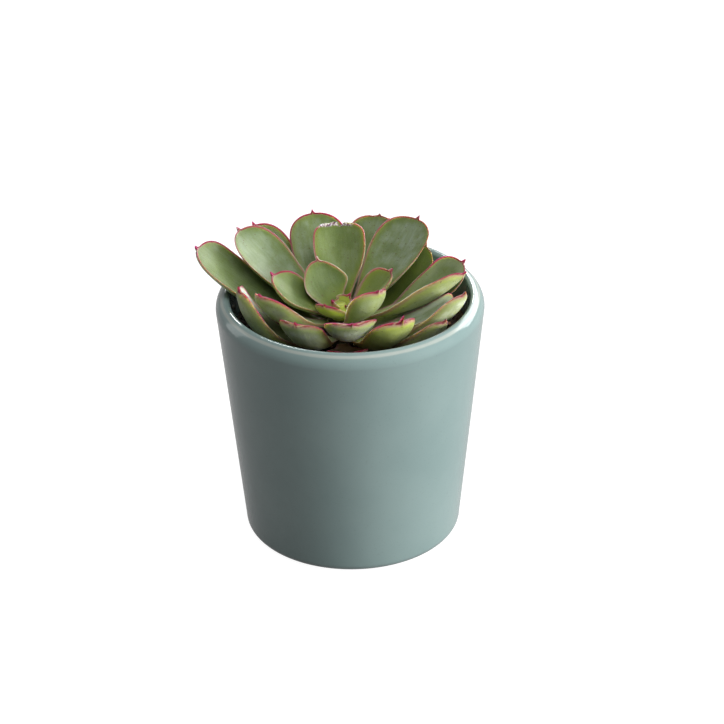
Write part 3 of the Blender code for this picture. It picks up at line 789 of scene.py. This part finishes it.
def leaf_material():
    """Waxy grey-green leaf: yellow-green under the bloom, with a red margin and tip, a painted highlight
    beside the upper margin and painted light on the lower face.
    """
    make = Shading("leaf_skin")
    skin = leaf_skin(make)
    bloom = leaf_bloom(make, skin)
    height = make.plus(make.noise(skin.position, *SKIN_NOISE), make.times(skin.streaks, SKIN_STREAKS))
    return make.dress({
        "Base Color": leaf_colour(make, skin, bloom),
        "Roughness": make.ramp(bloom, *BLOOM_ROUGHNESS),
        "Specular IOR Level": 0.38,
        "Subsurface Weight": 0.6,
        "Subsurface Radius": (1.0, 1.0, 0.35),
        "Subsurface Scale": 2.2 * MM,
        "Sheen Weight": 0.12,
        "Sheen Roughness": 0.35,
        "Normal": make.bump(height, SKIN_DEPTH),
    })


def glaze_material():
    """Celadon glaze: glossy, slightly clouded, worn thin to a beige line where the lip turns."""
    make = Shading("celadon_glaze")
    position = make.position()
    wander = make.swing(make.noise(position, *WORN_NOISE), WORN_WANDER)
    worn = make.ramp(make.plus(make.attribute("glaze_break"), wander), *WORN_EDGE)
    specks = make.ramp(make.noise(position, *SPECK_NOISE), *SPECK_AMOUNT)
    colour = make.mix(make.ramp(make.noise(position, *CLOUD_NOISE), *CLOUD_MIX), GLAZE_DARK, GLAZE_PALE)
    colour = make.mix(specks, colour, GLAZE_SPECK)
    return make.dress({
        "Base Color": make.mix(make.times(worn, WORN_AMOUNT), colour, WORN_GLAZE),
        "Roughness": make.ramp(worn, *WORN_ROUGHNESS),
        "IOR": 1.5,
        "Coat Weight": 0.35,
        "Coat Roughness": 0.03,
        "Normal": make.bump(make.noise(position, *GLAZE_SWELL_NOISE), GLAZE_SWELL_DEPTH),
    })


def soil_material():
    """Dark peaty potting mix."""
    make = Shading("potting_soil")
    grain = make.noise(make.position(), *SOIL_NOISE)
    return make.dress({
        "Base Color": make.mix(make.ramp(grain, *SOIL_MIX), SOIL_DARK, SOIL_PALE),
        "Roughness": 0.95,
        "Normal": make.bump(grain, SOIL_DEPTH),
    })


def bark_material():
    """Reddish-brown bark chips, with slanting fibre that follows the mean of a place's three parts."""
    make = Shading("bark_chips")
    position = make.position()
    grain = make.noise(position, *BARK_NOISE)
    fibre = make.noise(make.combine(position, position, 0.0), *FIBRE_NOISE)
    colour = make.mix(make.ramp(grain, *BARK_MIX), BARK_DARK, BARK_PALE)
    return make.dress({
        "Base Color": make.mix(make.ramp(fibre, *FIBRE_AMOUNT), colour, BARK_FIBRE),
        "Roughness": 0.85,
        "Normal": make.bump(fibre, FIBRE_DEPTH),
    })


def stem_material():
    """Dark green-brown stem."""
    make = Shading("stem_skin")
    grain = make.noise(make.position(), *STEM_NOISE)
    return make.dress({
        "Base Color": make.mix(make.ramp(grain, *STEM_MIX), STEM_DARK, STEM_PALE),
        "Roughness": 0.75,
        "Normal": make.bump(grain, STEM_DEPTH),
    })


def make_leaves(material):
    """A fine leaf in place of every CAD leaf."""
    for order, leaf in enumerate(LEAVES):
        vertices, faces, values = leaf_shell(leaf, LOOKS[leaf.name], LEAF_RINGS, FACE_POINTS)
        mesh = build_mesh(leaf.name + "_fine", vertices, faces, values)
        relief(mesh, order, values)
        add_piece(leaf.name + "_fine", mesh, material, leaf.name)


def bud_leaf(order):
    """The shape of one of the bud's small leaves."""
    return Leaf(
        name="bud_leaf",
        azimuth=BUD_FIRST_AZIMUTH + GOLDEN_ANGLE * order,
        reach=BUD_REACH - BUD_REACH_STEP * order,
        tip_height=BUD_TIP_HEIGHT - BUD_TIP_STEP * order,
        curl=20.0,
        width=BUD_WIDTH - BUD_WIDTH_STEP * order,
        root_height=BUD_FOOT,
        root_radius=BUD_ROOT_RADIUS,
        roll=0.0,
        bow=0.0,
        cup=0.40,
        thickness=BUD_THICKNESS - BUD_THICKNESS_STEP * order,
        root_share=0.60,
        widest=0.45,
        blunt=1.6,
        mucro=1.2,
    )


def bud_core():
    """Points, faces and point values of the bud's closed core."""
    profile = [(0.0, BUD_CORE_PROFILE[0][1]), *BUD_CORE_PROFILE, (0.0, BUD_CORE_PROFILE[-1][1])]
    vertices, faces = turned_shell(profile, BUD_CORE_SEGMENTS)
    vertices = vertices + np.array([ROSETTE_X, ROSETTE_Y, 0.0])
    core = {"margin": 3.0, "along": 0.2, "upper": 0.0, "sideways": 0.0, "length_mm": 0.0}
    core.update(BUD_LOOK._replace(blush=0.0)._asdict(), scar=0.0, young=YOUNG_AND_PAINTED_LIGHT["bud_core"])
    return vertices, faces, {key: np.full(len(vertices), number) for key, number in core.items()}


def join_shells(shells):
    """Points, faces and point values of several shells as one."""
    all_vertices, all_faces, all_values, offset = [], [], {}, 0
    for vertices, faces, values in shells:
        all_vertices.append(vertices)
        all_faces += [tuple(index + offset for index in face) for face in faces]
        for key, numbers in values.items():
            all_values.setdefault(key, []).append(numbers)
        offset += len(vertices)
    joined_values = {key: np.concatenate(parts) for key, parts in all_values.items()}
    return np.concatenate(all_vertices), all_faces, joined_values


def make_bud(material):
    """The bud's leaves and core as one fine piece."""
    leaves = [BUD_OPEN_LEAF] + [bud_leaf(order) for order in range(BUD_LEAVES)]
    shells = [leaf_shell(leaf, BUD_LOOK, LEAF_RINGS // 2, FACE_POINTS // 2) for leaf in leaves]
    mesh = build_mesh("bud_fine", *join_shells(shells + [bud_core()]))
    add_piece("bud_fine", mesh, material, "bud")


def turned_shell(profile, segments):
    """Points and faces of a profile turned round the Z axis, its first and last point on the axis."""
    angles = np.linspace(0.0, 2.0 * np.pi, segments, endpoint=False)
    circle = np.stack([np.cos(angles), np.sin(angles)], 1)
    rings = [np.column_stack([r * circle, np.full(segments, z)]) for r, z in profile[1:-1]]
    ends = [(0.0, 0.0, profile[0][1]), (0.0, 0.0, profile[-1][1])]
    return np.concatenate(rings + [ends]), tube_faces(len(rings), segments)


def arc(centre_x, centre_z, radius, start, end, steps):
    """Points of an arc in the XZ plane with the angle of each, from +X towards +Z."""
    angles = np.linspace(start, end, steps + 1)
    turns = np.radians(angles)
    return [(centre_x + radius * np.cos(t), centre_z + radius * np.sin(t), a) for t, a in zip(turns, angles)]


def lip_arcs():
    """Centres and radii of the lip's inner and outer arc, which meet at LIP_TURN."""
    turn = np.radians(LIP_TURN)
    outer_x = RIM_RADIUS - LIP_ROUND
    inner = (outer_x + LIP_ROUND * np.cos(turn) - MOUTH_RADIUS) / (1.0 + np.cos(turn))
    inner_x = MOUTH_RADIUS + inner
    inner_z = POT_HEIGHT - inner
    outer_z = inner_z - (LIP_ROUND - inner) * np.sin(turn)
    return (inner_x, inner_z, inner), (outer_x, outer_z, LIP_ROUND)


def wall_radius(height):
    """Inner radius of the pot's wall at a height."""
    top = lip_arcs()[0][1]
    return FLOOR_RADIUS + (MOUTH_RADIUS - FLOOR_RADIUS) * (height - WALL_FOOT) / (top - WALL_FOOT)


def make_pot(material):
    """The glazed pot, turned finely, with the glaze break marked round the lip."""
    inner_lip, outer_lip = lip_arcs()
    profile = [(0.0, FLOOR_HEIGHT, 90.0)]
    profile += arc(FLOOR_RADIUS - FLOOR_FILLET, WALL_FOOT, FLOOR_FILLET, -90.0, 0.0, FLOOR_FILLET_STEPS)
    profile += arc(*inner_lip, 180.0, LIP_TURN, LIP_STEPS)
    profile += arc(*outer_lip, LIP_TURN, 0.0, LIP_STEPS)[1:]
    profile += arc(BASE_RADIUS - BASE_FILLET, BASE_FILLET, BASE_FILLET, 0.0, -90.0, BASE_FILLET_STEPS)
    profile += [(0.0, 0.0, -90.0)]
    vertices, faces = turned_shell([(r, z) for r, z, _ in profile], POT_SEGMENTS)
    lip_foot = outer_lip[1]
    turns = np.array([angle if z > lip_foot else 0.0 for _, z, angle in profile[1:-1]])
    break_marks = np.exp(-(((turns - GLAZE_BREAK_TURN) / GLAZE_BREAK_BREADTH) ** 2))
    values = {"glaze_break": np.append(np.repeat(break_marks, POT_SEGMENTS), [0.0, 0.0])}
    add_piece("pot_fine", build_mesh("pot_fine", vertices, faces, values), material, "pot")


def soil_height(radius):
    """Height of the soil's dish at a distance from the pot's axis."""
    edge = wall_radius(SOIL_EDGE_HEIGHT) - GAP
    step = np.clip((radius - SOIL_DISH_RADIUS) / (edge - SOIL_DISH_RADIUS), 0.0, 1.0)
    return SOIL_DISH_HEIGHT + (SOIL_EDGE_HEIGHT - SOIL_DISH_HEIGHT) * step ** 2


def make_soil(material, bark):
    """The soil's lumpy top and plain sides, and the crumbs and bark chips on it."""
    edge = wall_radius(SOIL_EDGE_HEIGHT) - GAP
    bottom = FLOOR_HEIGHT + GAP
    profile = [(radius, soil_height(radius)) for radius in np.linspace(0.0, edge, SOIL_RINGS)]
    profile += [(wall_radius(WALL_FOOT) - GAP, WALL_FOOT)]
    profile += [(FLOOR_RADIUS - FLOOR_FILLET, bottom), (0.0, bottom)]
    vertices, faces = turned_shell(profile, SOIL_SEGMENTS)
    for point in vertices:
        on_top = point[2] > SOIL_DISH_HEIGHT - SOIL_TOP_TOLERANCE
        if on_top and np.hypot(point[0], point[1]) < edge - SOIL_PLAIN_RING:
            place = Vector(point)
            fine = SOIL_FINE_SHARE * noise.noise(place * SOIL_FINE_SCALE)
            point[2] += SOIL_LUMP_HEIGHT * (noise.noise(place * SOIL_LUMP_SCALE) + fine)
    add_piece("soil_fine", build_mesh("soil_fine", vertices, faces, {}), material, "soil")
    strew(CRUMBS, edge, material)
    strew(BARK_BITS, edge, bark)


def lump_shape():
    """Points and faces of a small icosphere."""
    ball = bmesh.new()
    bmesh.ops.create_icosphere(ball, subdivisions=1, radius=1.0)
    points = np.array([vertex.co for vertex in ball.verts])
    faces = np.array([[vertex.index for vertex in face.verts] for face in ball.faces])
    ball.free()
    return points, faces


def strew(lumps, edge, material):
    """Small rough lumps strewn over the soil, joined in one piece."""
    draw = np.random.default_rng(lumps.seed)
    points, faces = lump_shape()
    all_vertices, all_faces = [], []
    for number in range(lumps.count):
        radius = edge * np.sqrt(draw.uniform(*STREWN_AREA))
        angle = draw.uniform(0.0, 2.0 * np.pi)
        size = draw.uniform(*lumps.sizes)
        turn = Matrix.Rotation(draw.uniform(*LUMP_TURN_RADIANS), 3, "Z")
        slant = Matrix.Rotation(draw.uniform(*LUMP_SLANT_RADIANS), 3, "X")
        stretch = np.array([1.0, draw.uniform(*LUMP_BREADTHS), draw.uniform(*lumps.flatness)]) * size / 2.0
        rough = points * (1.0 + draw.uniform(*LUMP_ROUGHNESS, (len(points), 1))) * stretch
        centre = (radius * np.cos(angle), radius * np.sin(angle), soil_height(radius) + LUMP_LIFT * size)
        all_vertices.append(rough @ np.array(turn @ slant).T + centre)
        all_faces.append(faces + number * len(points))
    mesh = build_mesh(lumps.name, np.concatenate(all_vertices), np.concatenate(all_faces).tolist(), {})
    mesh.shade_flat()
    add_piece(lumps.name, mesh, material, None)


def make_stem(material):
    """The stem, with a rough skin."""
    skin_heights = np.linspace(STEM_SKIN_TOP, STEM_SKIN_BOTTOM, STEM_SKIN_RINGS)
    profile = [(0.0, STEM_PROFILE[-1][1])] + STEM_PROFILE[::-1]
    profile += [(STEM_RADIUS, height) for height in skin_heights]
    profile += [(STEM_RADIUS, STEM_BOTTOM), (0.0, STEM_BOTTOM)]
    vertices, faces = turned_shell(profile, STEM_SEGMENTS)
    for point in vertices:
        rough = 1.0 - STEM_ROUGHNESS * (1.0 + noise.noise(Vector(point) * STEM_ROUGH_SCALE))
        point[0] = point[0] * rough + ROSETTE_X
        point[1] = point[1] * rough + ROSETTE_Y
    add_piece("stem_fine", build_mesh("stem_fine", vertices, faces, {}), material, "stem")


def make_lights():
    """A soft key low on the right, a window behind it, a weak light from above and two at the edges."""
    target = Vector((0.0, 0.0, LAMP_TARGET_HEIGHT * MM))
    for lamp in LAMPS:
        turn, lift = np.radians(lamp.azimuth), np.radians(lamp.elevation)
        away = Vector((np.cos(turn) * np.cos(lift), np.sin(turn) * np.cos(lift), np.sin(lift)))
        data = bpy.data.lights.new(lamp.name, "AREA")
        data.shape = "RECTANGLE"
        data.size, data.size_y = lamp.width_m, lamp.height_m
        data.energy = lamp.watts
        light = add_object(lamp.name, data)
        light.location = target + away * lamp.distance_m
        light.rotation_euler = away.to_track_quat("Z", "Y").to_euler()
        light.visible_camera = False
        light.visible_glossy = lamp.mirrored


def make_world():
    """White for the camera, dim for the light it gives."""
    world = bpy.data.worlds.new("studio")
    bpy.context.scene.world = world
    world.use_nodes = True
    tree = world.node_tree
    background = tree.nodes["Background"]
    path = tree.nodes.new("ShaderNodeLightPath")
    mirrored = tree.nodes.new("ShaderNodeMapRange")
    strength = tree.nodes.new("ShaderNodeMapRange")
    mirrored.inputs["To Min"].default_value = WORLD_LIGHT
    mirrored.inputs["To Max"].default_value = WORLD_MIRRORED
    strength.inputs["To Max"].default_value = WORLD_SEEN
    background.inputs["Color"].default_value = (1.0, 1.0, 1.0, 1.0)
    tree.links.new(path.outputs["Is Glossy Ray"], mirrored.inputs["Value"])
    tree.links.new(mirrored.outputs[0], strength.inputs["To Min"])
    tree.links.new(path.outputs["Is Camera Ray"], strength.inputs["Value"])
    tree.links.new(strength.outputs[0], background.inputs["Strength"])


def make_floor():
    """A plain white sweep."""
    shell = bmesh.new()
    bmesh.ops.create_grid(shell, x_segments=1, y_segments=1, size=SWEEP_HALF_SIZE_M)
    mesh = bpy.data.meshes.new("floor")
    shell.to_mesh(mesh)
    shell.free()
    make = Shading("floor_white")
    path = make.node("LightPath", {})
    seen = make.times(path.outputs["Is Camera Ray"], SWEEP_SEEN)
    mirrored = make.times(path.outputs["Is Glossy Ray"], SWEEP_MIRRORED)
    mesh.materials.append(make.dress({
        "Base Color": SWEEP_GREY,
        "Roughness": 0.9,
        "Specular IOR Level": 0.0,
        "Emission Color": (1.0, 1.0, 1.0),
        "Emission Strength": make.plus(seen, mirrored),
    }))
    add_object("floor", mesh)


def make_camera():
    """The camera at the photograph's place and angle."""
    lift, roll = np.radians(CAMERA_ELEVATION), np.radians(CAMERA_ROLL)
    target = Vector((0.0, 0.0, POT_CENTRE_HEIGHT * MM))
    back = Vector((0.0, -np.cos(lift), np.sin(lift)))
    right, up = Vector((1.0, 0.0, 0.0)), Vector((0.0, np.sin(lift), np.cos(lift)))
    cosine, sine = float(np.cos(roll)), float(np.sin(roll))
    right, up = cosine * right - sine * up, sine * right + cosine * up
    focal_pixels = PIXELS_PER_MM * CAMERA_DISTANCE
    aside = (PHOTO_SIZE / 2.0 - POT_CENTRE_PIXEL[0]) / focal_pixels
    above = (POT_CENTRE_PIXEL[1] - PHOTO_SIZE / 2.0) / focal_pixels
    ahead = (aside * right + above * up - back).normalized()
    right = (right - right.dot(ahead) * ahead).normalized()
    up = right.cross(ahead)
    data = bpy.data.cameras.new("camera")
    data.sensor_width = SENSOR_WIDTH
    data.lens = focal_pixels / PHOTO_SIZE * SENSOR_WIDTH
    data.clip_end = CAMERA_CLIP_END_M
    camera = add_object("camera", data)
    turn = Matrix((right, up, -ahead)).transposed().to_4x4()
    camera.matrix_world = Matrix.Translation(target + back * CAMERA_DISTANCE * MM) @ turn
    bpy.context.scene.camera = camera


def main():
    """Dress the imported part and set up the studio."""
    bpy.context.scene.view_settings.view_transform = "Standard"
    leaf = leaf_material()
    make_pot(glaze_material())
    make_soil(soil_material(), bark_material())
    make_stem(stem_material())
    make_leaves(leaf)
    make_bud(leaf)
    make_floor()
    make_world()
    make_lights()
    make_camera()


main()
